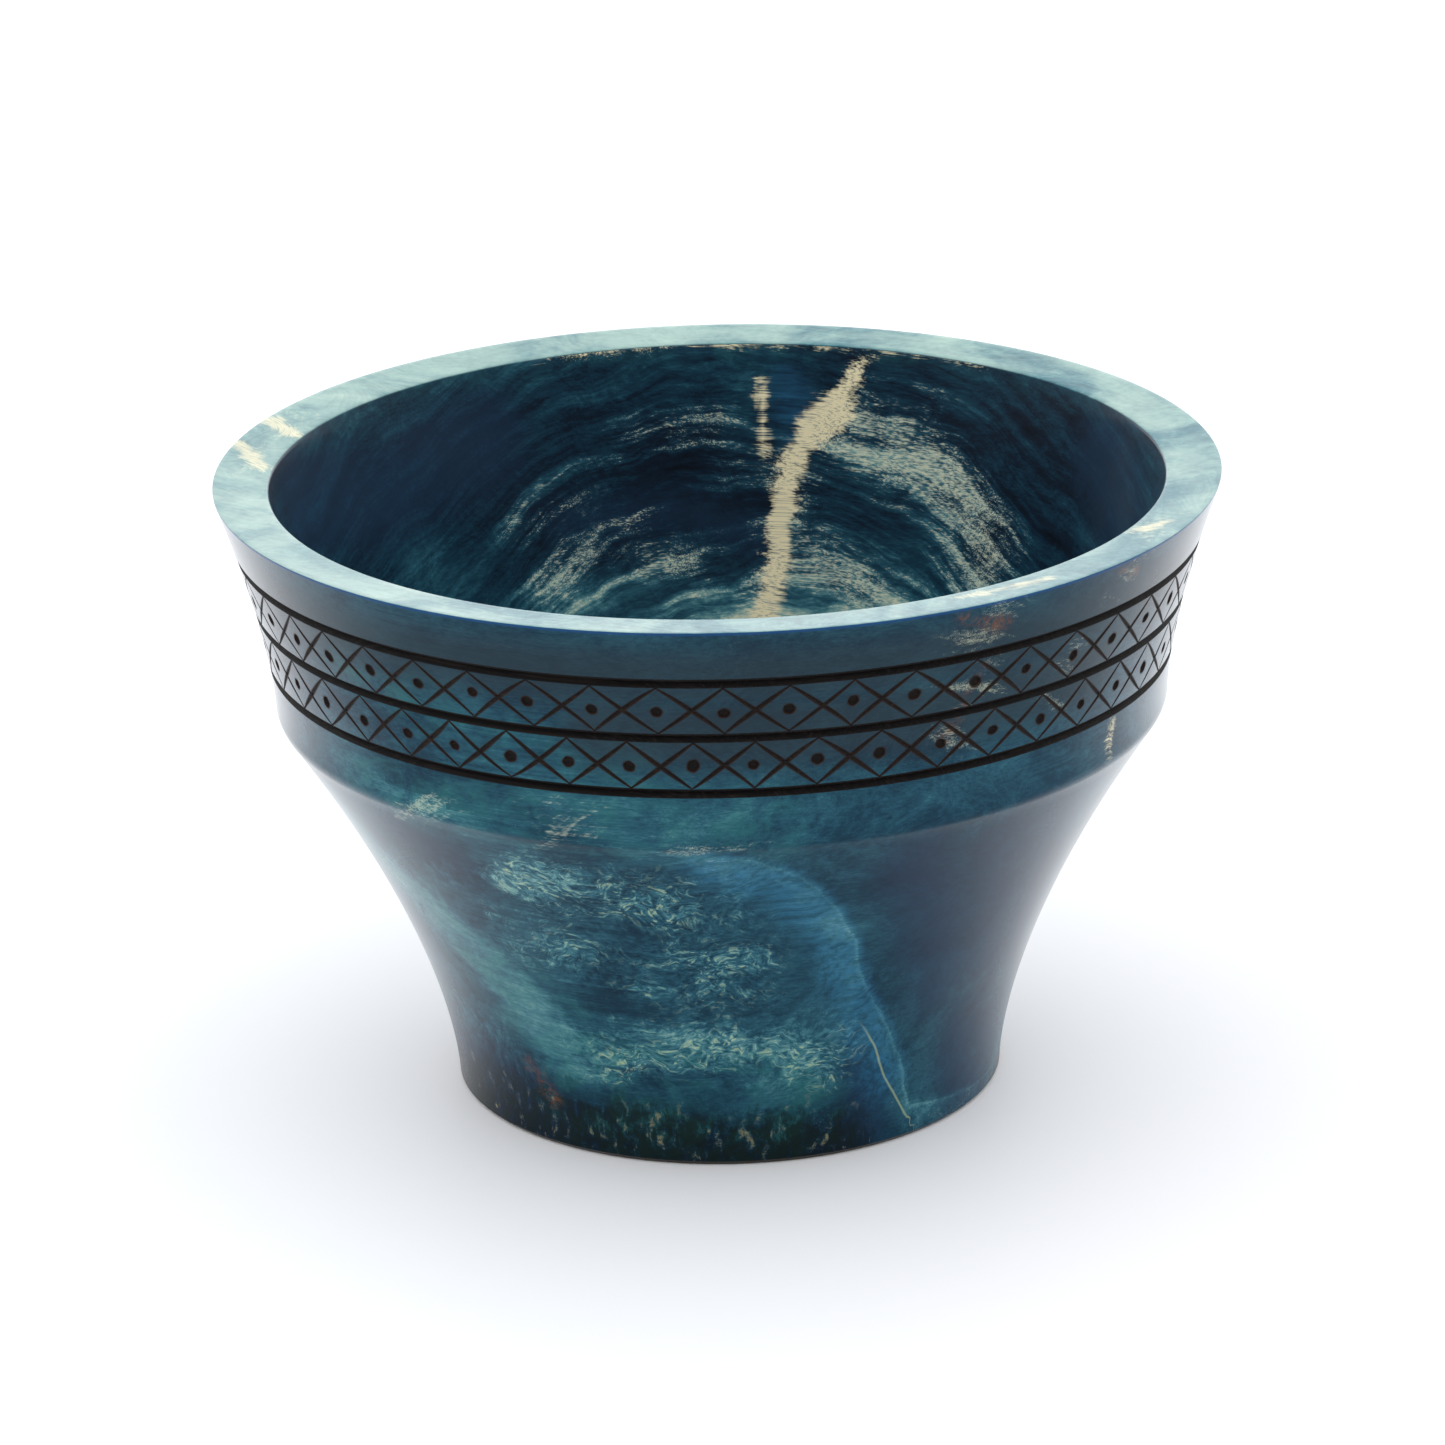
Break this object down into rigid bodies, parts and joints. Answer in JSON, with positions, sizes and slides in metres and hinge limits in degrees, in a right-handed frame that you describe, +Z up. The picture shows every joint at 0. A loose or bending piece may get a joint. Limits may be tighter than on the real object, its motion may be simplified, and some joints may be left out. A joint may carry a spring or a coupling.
{
  "type": "turned wooden bowl",
  "caption": "Deep turned bowl of dyed burl wood with a flared flat rim, a stepped waist, burnt grooves and two bands of burnt diamond lattice.",
  "frame": {"origin": "centre of the base, in the plane of the flat ring that the bowl stands on", "axes": "+Z up the turning axis through the bowl's mouth; -Y towards the viewer, through the middle of a diamond of the upper band"},
  "size_m": [0.18, 0.18, 0.114],
  "materials": {
    "dyed_wood": "satin oil over blue dye",
    "groove_char": "friction-burnt, dull",
    "line_char": "burnt line, dull",
    "dot_char": "burnt pit, dull"
  },
  "bodies": {
    "root": {"bowl_body": "dyed_wood", "top_groove_char": "groove_char", "middle_groove_char": "groove_char", "bottom_groove_char": "groove_char", "upper_lattice_char": "line_char", "lower_lattice_char": "line_char", "upper_dot_char": "dot_char", "lower_dot_char": "dot_char"}
  },
  "joints": []
}
